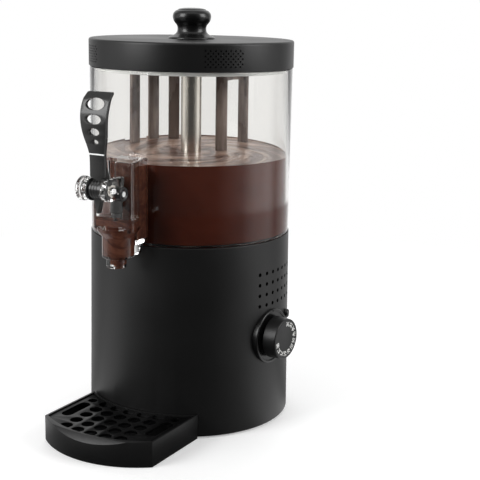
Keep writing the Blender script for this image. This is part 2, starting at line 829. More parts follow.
@dataclass
class HeatDial:
    """The dial's ring and knob, with plain numbers round its face."""

    bench: Bench
    base: DrumBase
    angle: float = 84.0
    height: float = 0.0824
    ring_radius: float = 0.0241
    ring_face: float = 0.0928
    ring_floor: float = 0.0916
    ring_width: float = 0.0022
    back: float = 0.0945
    face: float = 0.107
    knob_radius: float = 0.0178
    knob_back_radius: float = 0.0186
    first_number: int = 30
    number_step: int = 5
    number_count: int = 11
    first_turn: float = 11.0
    last_turn: float = 258.0
    number_radius: float = 0.0136
    number_size: float = 0.0056

    def ring(self) -> Shape:
        """The rounded ring round the knob."""
        back = self.base.radius_at(self.height) - 0.006
        inner = self.ring_radius - self.ring_width
        outline = softened([
            (self.ring_radius, self.ring_face, 0.0011), (self.ring_radius, back), (0.005, back),
            (0.005, self.ring_floor), (inner, self.ring_floor, 0.0006), (inner, self.ring_face, 0.0009)])
        made = Shape.turned(outline, 96)
        notch = Shape.block((-0.0005, inner - OVERSHOOT, self.ring_floor + 0.0003),
                            (0.0005, self.ring_radius + OVERSHOOT, self.ring_face + OVERSHOOT))
        made = made.cut(notch).moved(self.base.outward(self.angle, self.height))
        low, high = self.height - self.ring_radius - OVERSHOOT, self.height + self.ring_radius + OVERSHOOT
        room = Shape.turned([(0.0, high), (self.base.radius_at(high) + 0.0003, high),
                             (self.base.radius_at(low) + 0.0003, low), (0.0, low)], 256, closed=False)
        return made.cut(room)

    def knob(self) -> Shape:
        """The knob, with a dished edge on its face."""
        outline = softened([
            (0.0, self.face - 0.0002), (self.knob_radius - 0.0026, self.face - 0.0002),
            (self.knob_radius - 0.0022, self.face, 0.0002), (self.knob_radius, self.face, 0.0011),
            (self.knob_back_radius, self.back, 0.0008), (0.0095, self.back), (0.0095, self.back + 0.003),
            (0.0035, self.back + 0.003), (0.0035, self.face - 0.0032), (0.0, self.face - 0.0032)],
                           closed=False)
        return Shape.turned(outline, 96, closed=False).moved(self.base.outward(self.angle, self.height))

    def numbers(self) -> Shape:
        """Plain numbers that stand round the face."""
        made = Shape()
        for index in range(self.number_count):
            swept = (self.last_turn - self.first_turn) * index
            turn = math.radians(self.first_turn + swept / (self.number_count - 1))
            text = bpy.data.curves.new("number", "FONT")
            text.body = str(self.first_number + self.number_step * index)
            text.size = self.number_size
            text.align_x = "CENTER"
            text.align_y = "CENTER"
            text.extrude = 0.00004
            text.offset = 0.00012
            holder = bpy.data.objects.new("number", text)
            bpy.context.scene.collection.objects.link(holder)
            bpy.context.view_layer.update()
            graph = bpy.context.evaluated_depsgraph_get()
            mesh = bpy.data.meshes.new_from_object(holder.evaluated_get(graph))
            bpy.data.objects.remove(holder, do_unlink=True)
            mesh.transform(Matrix.Rotation(-turn, 4, "Z") @ Matrix.Translation((0.0, self.number_radius, 0.0))
                           @ Matrix.Rotation(QUARTER_TURN, 4, "Z"))
            made.bm.from_mesh(mesh)
            bpy.data.meshes.remove(mesh)
        seat = Matrix.Translation((0.0, 0.0, self.face - 0.00016))
        return made.moved(self.base.outward(self.angle, self.height) @ seat)

    def build(self) -> None:
        """Make and dress the dial's pieces."""
        self.bench.piece("dial_ring", self.ring(), Body.BASE, GLOSS_BLACK, ["dial_bezel"])
        self.bench.piece("dial_cap", self.knob(), Body.DIAL, MATTE_BLACK, ["dial_knob"])
        self.bench.piece("dial_numbers", self.numbers(), Body.DIAL, WHITE_PRINT)


@dataclass
class DrinkTank:
    """The clear tank, the drink in it and the seals at its ends."""

    bench: Bench
    shoulder: float = 0.1686
    top: float = 0.3134
    bottom_radius: float = 0.0888
    top_radius: float = 0.0893
    wall: float = 0.003
    spigot_outer: float = 0.0864
    spigot_inner: float = 0.0834
    spigot_low: float = 0.1591
    shoulder_rise: float = 0.0038
    port_half: float = 0.0103
    port_low: float = 0.176
    port_high: float = 0.237
    drink_top: float = 0.236
    drink_bottom: float = 0.1695

    def wall_shape(self) -> Shape:
        """The tank's clear wall with the port for the tap."""
        outline = softened([
            (self.top_radius, self.top, 0.0008), (self.bottom_radius, self.shoulder, 0.0005),
            (self.spigot_outer, self.shoulder), (self.spigot_outer, self.spigot_low, 0.0005),
            (self.spigot_inner, self.spigot_low, 0.0005), (self.spigot_inner, self.shoulder + 0.0003),
            (self.bottom_radius - self.wall, self.shoulder + self.shoulder_rise),
            (self.top_radius - self.wall, self.top, 0.0008)])
        port = Shape.block((-self.port_half, -0.1206, self.port_low),
                           (self.port_half, -0.081, self.port_high))
        return Shape.turned(outline, 256).cut(port)

    def drink(self) -> Shape:
        """The drink, with the low waves that the stirrer leaves."""
        radius = self.bottom_radius - self.wall + SKIN
        rings = [radius * share / 40.0 for share in range(1, 40)]
        outline = [(0.0, self.drink_top)] + [(across, self.drink_top) for across in rings]
        outline += [(radius - 0.0005, self.drink_top + 0.0003), (radius + 0.0001, self.drink_top + 0.0011)]
        outline += [(radius, self.shoulder + self.shoulder_rise),
                    (self.spigot_inner + SKIN, self.shoulder + 0.0004),
                    (self.spigot_inner + SKIN, self.drink_bottom), (0.0, self.drink_bottom)]
        shape = Shape.turned(outline, 192, closed=False)
        for vert in shape.bm.verts:
            across = math.hypot(vert.co.x, vert.co.y)
            if vert.co.z < self.drink_top - WELD or across > radius - 0.003:
                continue
            turn = math.atan2(vert.co.y, vert.co.x)
            fade = math.sin(math.pi * across / radius)
            wave = math.sin(across * 520.0 + 3.0 * turn) + 0.6 * math.sin(across * 300.0 - 2.0 * turn + 1.0)
            vert.co.z += 0.00022 * fade * wave
        return shape

    def build(self) -> None:
        """Make and dress the tank's pieces."""
        axis = tuple(self.bench.axis)
        surface = Chocolate("drink_surface", "smoked_plastic", (0.09, 0.037, 0.024), (0.42, 0.29, 0.23),
                            0.25, 0.3, 110.0, 0.0006, axis)
        side = Chocolate("drink_at_wall", "smoked_plastic", (0.075, 0.0165, 0.0085), (0.084, 0.019, 0.01),
                         0.9, 0.0, 10.0, 0.0, axis)
        self.bench.piece("tank_wall", self.wall_shape(), Body.TANK, CLEAR_TANK, ["tank"])
        drink = self.bench.piece("drink", self.drink(), Body.TANK, side, smooth=40.0)
        drink.data.materials.append(self.bench.material(surface))
        for face in drink.data.polygons:
            if face.normal.z > 0.5:
                face.material_index = 1


@dataclass
class Lid:
    """The lid with its steam holes, seal and knob."""

    bench: Bench
    radius: float = 0.09
    bottom: float = 0.3137
    top: float = 0.3372
    wall: float = 0.0026
    edge: float = 0.0022
    seal_outer: float = 0.0859
    seal_wall: float = 0.0022
    seal_low: float = 0.3102
    seal_high: float = 0.3182
    guide_inner: float = 0.0125
    guide_outer: float = 0.0147
    guide_low: float = 0.3155
    hole_radius: float = 0.00078
    hole_depth: float = 0.0014
    hole_rows: int = 7
    hole_columns: int = 8
    hole_low: float = 0.3181
    hole_pitch: float = 0.00427
    row_pitch: float = 0.00215
    patch_angles: tuple[float, ...] = (49.2, 139.2, 229.2, 319.2)
    knob_heights: tuple[float, ...] = (0.0003, 0.0012, 0.0022, 0.0036, 0.0056, 0.0085, 0.0112, 0.0132, 0.0152,
                                       0.0184, 0.0215, 0.0236, 0.0245)
    knob_radii: tuple[float, ...] = (0.0204, 0.0196, 0.0172, 0.0146, 0.013, 0.0126, 0.0132, 0.0148, 0.0161,
                                     0.0168, 0.0162, 0.0143, 0.0122)

    def cover(self) -> Shape:
        """The lid's shell with its patches of steam holes."""
        under = self.top - self.wall
        groove_outer = self.seal_outer + 0.0003
        groove_inner = self.seal_outer - self.seal_wall - 0.0012
        groove_top = self.seal_high + 0.0003
        outline = softened([
            (0.0023, self.top), (self.radius, self.top, self.edge), (self.radius, self.bottom, 0.0007),
            (groove_outer, self.bottom, 0.0003), (groove_outer, groove_top), (groove_inner, groove_top),
            (self.radius - self.wall, groove_top + self.wall), (self.radius - self.wall, under),
            (self.guide_outer, under), (self.guide_outer, self.guide_low), (self.guide_inner, self.guide_low),
            (self.guide_inner, under), (0.0023, under)])
        shell = Shape.turned(outline, 256)
        holes = Shape()
        turn_pitch = math.degrees(self.hole_pitch / self.radius)
        for patch in self.patch_angles:
            for row in range(self.hole_rows):
                for column in range(self.hole_columns):
                    shift = column - (self.hole_columns - 1) / 2.0 + 0.5 * (row % 2) - 0.25
                    angle = math.radians(patch + shift * turn_pitch)
                    height = self.hole_low + row * self.row_pitch
                    place = (Matrix.Translation((0.0, 0.0, height)) @ Matrix.Rotation(angle, 4, "Z")
                             @ Matrix.Rotation(QUARTER_TURN, 4, "X"))
                    holes.added(Shape.rod(self.hole_radius, self.radius - self.hole_depth,
                                          self.radius + OVERSHOOT, place, 10))
        return shell.cut(holes)

    def knob(self) -> Shape:
        """The turned knob."""
        foot = self.top + 0.0003
        curve = smooth_table(self.knob_heights, self.knob_radii, 6)
        outline = [(0.0023, foot + 0.0113), (0.0023, foot), (self.knob_radii[0], foot)]
        outline += [(radius, foot + height) for height, radius in curve]
        crown = foot + self.knob_heights[-1]
        last = self.knob_radii[-1]
        outline += [(last * math.cos(math.radians(turn)), crown + 0.0017 * math.sin(math.radians(turn)))
                    for turn in range(10, 90, 10)]
        outline += [(0.0, crown + 0.0017), (0.0, foot + 0.0113)]
        return Shape.turned(outline, 96, closed=False)

    def build(self, frame: dict) -> None:
        """Make and dress the lid's pieces."""
        self.bench.piece("lid_cover", self.cover(), Body.LID, MATTE_BLACK, ["lid"])
        ring = softened([(self.seal_outer, self.seal_high), (self.seal_outer, self.seal_low, 0.0008),
                         (self.seal_outer - self.seal_wall, self.seal_low, 0.0008),
                         (self.seal_outer - self.seal_wall, self.seal_high)])
        self.bench.piece("lid_ring_seal", Shape.turned(ring, 192), Body.LID, PALE_RUBBER, ["lid_seal"])
        self.bench.piece("lid_grip", self.knob(), Body.LID, GLOSS_BLACK, ["lid_knob"])
        self.bench.dress(["lid_bush"], PALE_PLASTIC, frame)
        self.bench.dress(["lid_knob_screw"], STEEL, frame)


@dataclass
class Stirrer:
    """The column and the upright blades on their hub."""

    bench: Bench
    hub_radius: float = 0.014
    hub_height: float = 0.022
    column_radius: float = 0.0092
    column_wall: float = 0.0012
    column_seat: float = 0.1814
    column_top: float = 0.317
    blade_width: float = 0.0104
    blade_thickness: float = 0.0042
    blade_top: float = 0.3035
    angles: tuple[float, ...] = (-104.0, -120.3, -135.0, 135.0, 170.0)
    radii: tuple[float, ...] = (0.0775, 0.0785, 0.0745, 0.028, 0.0745)
    radial_blade: int = 3
    spoke_half: float = 0.0045
    spoke_height: float = 0.005

    def blades(self, low: float) -> Shape:
        """Hub, spokes, blades, hooks and arch in one moulding.

        Args:
            low: Where the hub starts.

        Returns:
            The moulding.
        """
        made = Shape.turned(softened([
            (0.0, self.column_seat), (self.column_radius + 0.0003, self.column_seat),
            (self.column_radius + 0.0003, low + self.hub_height),
            (self.hub_radius, low + self.hub_height, 0.001),
            (self.hub_radius, low), (0.0, low)], closed=False), 64, closed=False)
        foot = low + 0.0006
        for number, (angle, radius) in enumerate(zip(self.angles, self.radii)):
            turn = Matrix.Rotation(math.radians(angle), 4, "Z")
            spoke = Shape.block((-self.spoke_half, -radius, foot),
                                (self.spoke_half, -0.0095, foot + self.spoke_height))
            made = made.joined(spoke.rounded(0.0008, 2).moved(turn))
            half, deep = self.blade_width / 2.0, self.blade_thickness / 2.0
            if number == self.radial_blade:
                half, deep = deep, half
            blade = Shape.block((-half, -radius - deep, foot + 0.001), (half, -radius + deep, self.blade_top))
            made = made.joined(blade.rounded(0.0009, 3).moved(turn))
            if number < 2:
                hook = Shape.block((half - 0.002, -radius - deep / 2.0, self.blade_top - 0.0065),
                                   (half + 0.003, -radius + deep / 2.0, self.blade_top - 0.003))
                made = made.joined(hook.rounded(0.0007, 2).moved(turn))
        return made.joined(self.arch())

    def arch(self) -> Shape:
        """The bowed web between the last two blades."""
        start = Vector((*polar(self.angles[3], self.radii[3]), 0.0))
        end = Vector((*polar(self.angles[4], self.radii[4]), 0.0))
        span = (end - start).length
        top = [(span * share / 12.0,
                self.blade_top - 0.0065 + 0.0043 * math.sin(QUARTER_TURN * min(share / 6.0, 1.0)))
               for share in range(13)]
        below = [(span * share / 12.0, self.blade_top - 0.009 - 0.0045 * (share / 12.0) ** 2)
                 for share in range(12, -1, -1)]
        web = Shape.plate(top + below, -self.blade_thickness / 4.0, self.blade_thickness / 4.0, Plane.FRONT)
        along = math.atan2(end.y - start.y, end.x - start.x)
        return web.moved(Matrix.Translation(start) @ Matrix.Rotation(along, 4, "Z"))

    def build(self, frame: dict) -> None:
        """Make and dress the stirrer's pieces."""
        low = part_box("stirrer_paddle")[0][2]
        self.bench.piece("stirrer_blades", self.blades(low), Body.STIRRER, SMOKED, ["stirrer_paddle"])
        inner = self.column_radius - self.column_wall
        tube = softened([(self.column_radius, self.column_top, 0.0004),
                         (self.column_radius, self.column_seat + 0.0003),
                         (inner, self.column_seat + 0.0003), (inner, self.column_top, 0.0004)])
        self.bench.piece("column_tube", Shape.turned(tube, 96), Body.STIRRER, STEEL, ["stirrer_column"])
        self.bench.dress(["column_cap"], MATTE_BLACK, frame)


@dataclass
class Tap:
    """The clear tap with its valve, and the drink inside it."""

    bench: Bench
    front: float = 0.1206
    half_width: float = 0.0194
    corner: float = 0.003
    side_depth: float = 0.0061
    neck_half: float = 0.013
    neck_start: float = 0.097
    neck_front: float = 0.106
    neck_low: float = 0.1722
    low: float = 0.1855
    high: float = 0.243
    wall: float = 0.0024
    root: float = 0.082
    bay_floor: float = 0.196
    bay_back: float = 0.104
    gallery_low: float = 0.188
    gallery_high: float = 0.1935
    duct_half: float = 0.0103
    duct_front: float = 0.102
    duct_low: float = 0.176
    duct_high: float = 0.237
    cup_y: float = -0.112
    cup_radius: float = 0.0133
    cup_wall: float = 0.0025
    cup_low: float = 0.162
    funnel_radius: float = 0.0172
    funnel_low: float = 0.18
    nozzle_y: float = -0.1145
    nozzle_radius: float = 0.0083
    nozzle_low: float = 0.1542
    web_half: float = 0.007
    web_low: float = 0.1618
    web_high: float = 0.1708
    ear_inner: float = 0.0065
    ear_outer: float = 0.0122
    ear_radius: float = 0.009
    valve_y: float = -0.1125
    bore: float = 0.0042
    pivot_y: float = -0.138
    pivot_z: float = 0.2225
    stop_y: float = -0.1276
    stop_z: float = 0.2188

    def block_plan(self) -> Outline:
        """Plan of the front block, wide at the front and narrowed towards the tank."""
        side = -self.front + self.side_depth
        return softened([(self.half_width, -self.front, self.corner), (self.half_width, side),
                         (self.neck_half, -self.neck_start), (-self.neck_half, -self.neck_start),
                         (-self.half_width, side), (-self.half_width, -self.front, self.corner)])

    def bay_plan(self) -> Outline:
        """Plan of the open bay behind the front wall."""
        side = -self.front + self.side_depth
        half = self.half_width - self.wall
        run = (-self.bay_back - side) / (-self.neck_start - side)
        back_half = half - (half - self.neck_half + self.wall) * run
        return softened([(half, -self.front + self.wall, 0.001), (half, side), (back_half, -self.bay_back),
                         (-back_half, -self.bay_back), (-half, side),
                         (-half, -self.front + self.wall, 0.001)])

    def gallery_plan(self, inset: float) -> Outline:
        """Plan of the low passage from the duct to the cup."""
        side = -self.front + self.side_depth
        half = self.half_width - self.wall - inset
        duct = self.duct_half - inset
        return [(half, -self.front + self.wall + inset), (half, side), (duct, -self.duct_front),
                (duct, -self.neck_start), (-duct, -self.neck_start), (-duct, -self.duct_front),
                (-half, side), (-half, -self.front + self.wall + inset)]

    def place(self, y: float) -> Matrix:
        """An upright axis at a depth on the middle plane."""
        return Matrix.Translation((0.0, y, 0.0))

    def outside(self) -> Shape:
        """The tap's outer form, with rounded edges that catch the light."""
        body = Shape.plate(self.block_plan(), self.low, self.high).rounded(0.0009, 3, 60.0)
        neck = Shape.block((-self.neck_half, -self.neck_front, self.neck_low),
                           (self.neck_half, -self.root, self.high)).rounded(0.0009, 3)
        body = body.joined(neck)
        cup = softened([
            (0.0, self.low + 0.002), (self.funnel_radius, self.low + 0.002),
            (self.funnel_radius, self.low - 0.0005, 0.002),
            (self.cup_radius, self.funnel_low, 0.002), (self.cup_radius, self.cup_low, 0.002),
            (0.0, self.cup_low)],
            closed=False)
        body = body.joined(Shape.turned(cup, 72, closed=False).moved(self.place(self.cup_y)))
        nozzle = softened([(0.0, self.cup_low + 0.001), (self.nozzle_radius, self.cup_low + 0.001),
                           (self.nozzle_radius, self.nozzle_low, 0.0015), (0.0, self.nozzle_low)],
                          closed=False)
        body = body.joined(Shape.turned(nozzle, 64, closed=False).moved(self.place(self.nozzle_y)))
        web = Shape.block((-self.web_half, self.cup_y, self.web_low),
                          (self.web_half, -self.root, self.web_high))
        body = body.joined(web.rounded(0.0007, 2))
        for side in (-1.0, 1.0):
            plan = [(-self.front + 0.001, self.pivot_z - self.ear_radius),
                    (-self.front + 0.001, self.pivot_z + self.ear_radius)]
            plan += arc((self.pivot_y, self.pivot_z), self.ear_radius, 90.0, 270.0, 28)
            low, high = sorted((side * self.ear_inner, side * self.ear_outer))
            body = body.joined(Shape.plate(plan, low, high, Plane.SIDE).rounded(0.0009, 3, 60.0))
        return body

    def hollows(self, body: Shape) -> Shape:
        """Cut the bay, the passages and the bores."""
        body = body.cut(Shape.plate(self.bay_plan(), self.bay_floor, self.high + OVERSHOOT))
        body = body.cut(Shape.block((-0.0031, -self.front - OVERSHOOT,
                                     self.pivot_z - self.ear_radius + 0.0006),
                                    (0.0031, -self.front + self.wall + 0.001, self.high + OVERSHOOT)))
        body = body.cut(Shape.plate(self.gallery_plan(0.0), self.gallery_low, self.gallery_high))
        body = body.cut(Shape.block((-self.duct_half, -self.duct_front, self.duct_low),
                                    (self.duct_half, -self.root + OVERSHOOT, self.duct_high)))
        body = body.cut(Shape.rod(self.cup_radius - self.cup_wall, self.cup_low + self.cup_wall,
                                  self.gallery_low + 0.001, self.place(self.cup_y), 72))
        body = body.cut(Shape.rod(self.bore, self.nozzle_low - OVERSHOOT,
                                  self.cup_low + self.cup_wall + 0.001,
                                  self.place(self.valve_y), 48))
        body = body.cut(Shape.rod(0.0023, self.gallery_high - 0.001, self.bay_floor + 0.001,
                                  self.place(self.valve_y)))
        across = Matrix.Rotation(QUARTER_TURN, 4, "Y")
        for y, z, radius in ((self.pivot_y, self.pivot_z, 0.0033), (self.stop_y, self.stop_z, 0.0019)):
            body = body.cut(Shape.rod(radius, -0.0165, 0.0165, Matrix.Translation((0.0, y, z)) @ across))
        room = Shape.turned([
            (0.0, 0.3134), (0.0896, 0.3134), (0.0891, 0.1686), (0.0901, 0.1683), (0.0902, 0.1578),
            (0.0, 0.1578)],
            256, closed=False)
        return body.cut(room)

    def drink(self) -> Shape:
        """The drink in the duct, the gallery and the cup."""
        gap = -SKIN
        made = Shape.block((-self.duct_half + gap, -self.duct_front + gap, self.duct_low + gap),
                           (self.duct_half - gap, -0.0862, self.duct_high - gap))
        made = made.joined(Shape.plate(self.gallery_plan(gap), self.gallery_low + gap,
                                       self.gallery_high - gap))
        return made.joined(Shape.rod(self.cup_radius - self.cup_wall - gap,
                                     self.cup_low + self.cup_wall + gap,
                                     self.gallery_low + 0.001, self.place(self.cup_y), 72))

    def drop(self) -> Shape:
        """The last drop that hangs in the nozzle."""
        wide = self.bore + SKIN
        outline = softened([(0.0, 0.1642), (wide, 0.1642), (wide, 0.1562, 0.003), (0.0018, 0.1536, 0.0014),
                            (0.0, 0.1534)], closed=False, steps=6)
        return Shape.turned(outline, 40, closed=False).moved(self.place(self.valve_y))

    def piston(self) -> Shape:
        """The valve's stem with its piston and crosshead."""
        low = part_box("valve_stem")[0][2]
        stem = Shape.turned(softened([
            (0.0, 0.218), (0.002, 0.218), (0.002, 0.211), (0.0052, 0.211, 0.0006), (0.0052, 0.2, 0.0006),
            (0.002, 0.2),
            (0.002, low), (0.0, low)], closed=False), 48, closed=False).moved(self.place(self.valve_y))
        jaw, thick, z = 0.0031, 0.002, self.pivot_z
        plan = [(-0.003, z - jaw - thick), (0.005, z - jaw - thick), (0.005, z + jaw + thick),
                (-0.003, z + jaw + thick),
                (-0.003, z + jaw), (0.0028, z + jaw), (0.0028, z - jaw), (-0.003, z - jaw)]
        head = Shape.plate([(self.valve_y + y, height) for y, height in plan], -0.004, 0.004, Plane.SIDE)
        return stem.joined(head.rounded(0.0004, 2))

    def build(self, frame: dict) -> None:
        """Make and dress the tap's pieces."""
        axis = tuple(self.bench.axis)
        drink = Chocolate("drink_in_tap", "smoked_plastic", (0.045, 0.0125, 0.0075), (0.1, 0.034, 0.018), 0.5,
                          0.1,
                          10.0, 0.0, axis, 130.0)
        self.bench.piece("tap_casting", self.hollows(self.outside()), Body.TANK, CLEAR_TAP, ["tap_body"])
        self.bench.piece("tap_drink", self.drink(), Body.TANK, drink)
        self.bench.piece("tap_drop", self.drop(), Body.TANK, drink)
        self.bench.piece("valve_piston", self.piston(), Body.VALVE, LEVER_BLACK, ["valve_stem"])
        self.bench.dress(["valve_plug", "stem_seal"], BLACK_RUBBER, frame)


@dataclass
class TapLever:
    """The curved lever with its holes, band, pin and stop button."""

    bench: Bench
    tap: Tap
    hub_radius: float = 0.0075
    hub_left: float = -0.0052
    hub_right: float = 0.0062
    thickness: float = 0.0033
    heights: tuple[float, ...] = (0.2275, 0.2328, 0.245, 0.2505, 0.2569, 0.2646, 0.2723, 0.2798, 0.2871,
                                  0.2943, 0.2997)
    halves: tuple[float, ...] = (0.0071, 0.0072, 0.0072, 0.0073, 0.0086, 0.0106, 0.0118, 0.0124, 0.0127,
                                 0.0125, 0.0118)
    fronts: tuple[float, ...] = (0.1396, 0.1396, 0.1397, 0.1402, 0.1412, 0.1429, 0.1443, 0.1446, 0.1432,
                                 0.1401, 0.1352)
    narrow_half: float = 0.005
    narrow_top: float = 0.2322
    holes: tuple[tuple[float, float, float], ...] = (
        (0.2905, 0.0182, 0.0095), (0.2787, 0.0152, 0.0077), (0.2688, 0.0103, 0.006), (0.2608, 0.0061, 0.0037))
    band_height: float = 0.2508
    band_tall: float = 0.0014
    band_deep: float = 0.0007
    nose_tip: float = 0.2032
    nose_half: float = 0.005
    head_left: float = -0.0175
    heel_plan: tuple[Point, ...] = ((0.0006, 0.0065), (0.006, 0.001), (0.0086, 0.0042), (0.0088, 0.0095),
                                    (0.0052, 0.0178), (0.0022, 0.0262), (0.0006, 0.0262))
    head_radius: float = 0.01

    def across(self, y: float, z: float) -> Matrix:
        """A place whose local Z points to +X."""
        return Matrix.Translation((0.0, y, z)) @ Matrix.Rotation(QUARTER_TURN, 4, "Y")

    def blade(self) -> Shape:
        """The lever's plate: cut flat, split into bands, then bent along its side curve."""
        widths = smooth_table(self.heights[1:], self.halves[1:], 5)
        side = [(self.narrow_half, self.heights[0]), (self.narrow_half, self.narrow_top)]
        side += [(half, height) for height, half in widths]
        top_half, top = side.pop()
        side += [(top_half, top - 0.0012), (top_half - 0.0004, top - 0.0004), (top_half - 0.0012, top)]
        outline = side + [(-x, z) for x, z in reversed(side)]
        plate = Shape.plate(outline, 0.0, self.thickness, Plane.FRONT)
        for height, wide, tall in self.holes:
            hole = Shape.rod(1.0, -1.0, 1.0, Matrix.Translation((0.0, 0.0, height)) @ Matrix.Diagonal(
                (wide / 2.0, 0.01, tall / 2.0, 1.0)) @ Matrix.Rotation(QUARTER_TURN, 4, "X"), 40)
            plate = plate.cut(hole)
        plate.rounded(0.00055, 3, 40.0)
        steps = 46
        low, high = self.heights[0], self.heights[-1]
        for step in range(1, steps):
            level = low + (high - low) * step / steps
            everything = list(plate.bm.verts) + list(plate.bm.edges) + list(plate.bm.faces)
            bmesh.ops.bisect_plane(plate.bm, geom=everything, plane_co=(0.0, 0.0, level),
                                   plane_no=(0.0, 0.0, 1.0))
        curve = smooth_table(self.heights, self.fronts, 5)
        for vert in plate.bm.verts:
            vert.co.y += self.thickness - table_value(curve, vert.co.z)
        return plate

    def lever(self) -> Shape:
        """The blade with its hub, nose and rear arm."""
        made = self.blade()
        left, right, radius = self.hub_left, self.hub_right, self.hub_radius
        ribs: list[tuple[float, ...]] = [(0.0033, right), (radius, right, 0.0005)]
        for step in range(3):
            start = right - 0.0022 - 0.0026 * step
            ribs += [(radius, start), (radius - 0.0006, start - 0.0004), (radius - 0.0006, start - 0.001),
                     (radius, start - 0.0014)]
        ribs += [(radius, left, 0.0005), (0.0033, left)]
        hub = Shape.turned(softened(ribs), 64).moved(self.across(self.tap.pivot_y, self.tap.pivot_z))
        nose_top = self.tap.pivot_z - 0.0045
        nose = Shape.plate([(-self.nose_half, nose_top), (-0.0012, self.nose_tip), (0.0012, self.nose_tip),
                            (self.nose_half, nose_top)], 0.1358, 0.1398, Plane.FRONT).rounded(0.0006, 2, 60.0)
        arm = Shape.block((-0.0025, self.tap.pivot_y + 0.006, self.tap.pivot_z - 0.0015),
                          (0.0025, self.tap.valve_y, self.tap.pivot_z + 0.0015)).rounded(0.0005, 2)
        tip = Shape.rod(0.0025, -0.003, 0.003, self.across(self.tap.valve_y, self.tap.pivot_z))
        heel = Shape.plate([(self.tap.pivot_y + y, self.tap.pivot_z + z) for y, z in self.heel_plan],
                           -self.narrow_half, self.narrow_half, Plane.SIDE).rounded(0.0008, 3, 25.0)
        for part in (hub, heel, nose, arm, tip):
            made = made.joined(part)
        bore = Shape.rod(0.0033, -0.02, 0.02, self.across(self.tap.pivot_y, self.tap.pivot_z), 40)
        made = made.cut(bore)
        front = table_value(smooth_table(self.heights, self.fronts, 5), self.band_height)
        groove = Shape.block((-0.02, -front - OVERSHOOT, self.band_height - self.band_tall / 2.0),
                             (0.02, -front + self.band_deep, self.band_height + self.band_tall / 2.0))
        return made.cut(groove)

    def band(self) -> Shape:
        """The pale strip that lies in the lever's groove."""
        front = table_value(smooth_table(self.heights, self.fronts, 5), self.band_height)
        half, tall = self.halves[3] - 0.0003, self.band_tall / 2.0 - 0.0001
        return Shape.block((-half, -front + 0.00005, self.band_height - tall),
                           (half, -front + self.band_deep - 0.00005, self.band_height + tall)).rounded(0.0002, 2)

    def pin(self) -> Shape:
        """The clear pin with its domed head."""
        ear = self.tap.ear_outer + 0.0003
        outline = softened([
            (0.0, ear + 0.0028), (0.003, ear + 0.0028, 0.0006), (0.003, -ear),
            (self.head_radius, -ear, 0.0006),
            (self.head_radius, self.head_left + 0.0018, 0.001),
            (self.head_radius - 0.0022, self.head_left, 0.0014),
            (0.0, self.head_left)], closed=False)
        return Shape.turned(outline, 72, closed=False).moved(self.across(self.tap.pivot_y, self.tap.pivot_z))

    def button(self) -> tuple[Shape, Shape]:
        """The stop pin with its dished button, and the pale dot in the dish."""
        ear = self.tap.ear_outer + 0.0003
        top = ear + 0.0048
        outline = softened([
            (0.0, top - 0.0006), (0.0032, top - 0.0006), (0.0042, top, 0.0004), (0.0061, top, 0.0009),
            (0.0061, ear),
            (0.0016, ear), (0.0016, -self.tap.ear_outer), (0.0, -self.tap.ear_outer)], closed=False)
        place = self.across(self.tap.stop_y, self.tap.stop_z)
        dot = softened([(0.0, top - 0.0001), (0.0022, top - 0.0001, 0.0003), (0.0022, top - 0.0006),
                        (0.0, top - 0.0006)],
                       closed=False)
        head = Shape.turned(outline, 56, closed=False).moved(place)
        return head, Shape.turned(dot, 32, closed=False).moved(place)

    def build(self, frame: dict) -> None:
        """Make and dress the lever's pieces."""
        self.bench.piece("tap_handle", self.lever(), Body.LEVER, LEVER_BLACK, ["tap_lever"])
        self.bench.piece("handle_band", self.band(), Body.LEVER, PALE_BAND)
        self.bench.piece("pivot_pin", self.pin(), Body.TANK, CLEAR_TAP, ["lever_pin"])
        ring = softened([(0.0092, -0.0055, 0.0002), (0.0092, -0.0062, 0.0002), (0.0033, -0.0062),
                         (0.0033, -0.0055)])
        washer = Shape.turned(ring, 72).moved(self.across(self.tap.pivot_y, self.tap.pivot_z))
        self.bench.piece("pivot_washer", washer, Body.TANK, BLACK_RUBBER, ["lever_washer"])
        button, dot = self.button()
        self.bench.piece("stop_button", button, Body.TANK, GLOSS_BLACK, ["stop_pin"])
        self.bench.piece("stop_button_dot", dot, Body.TANK, PALE_PLASTIC)
        self.bench.dress(["lever_pin_clip"], STEEL, frame)


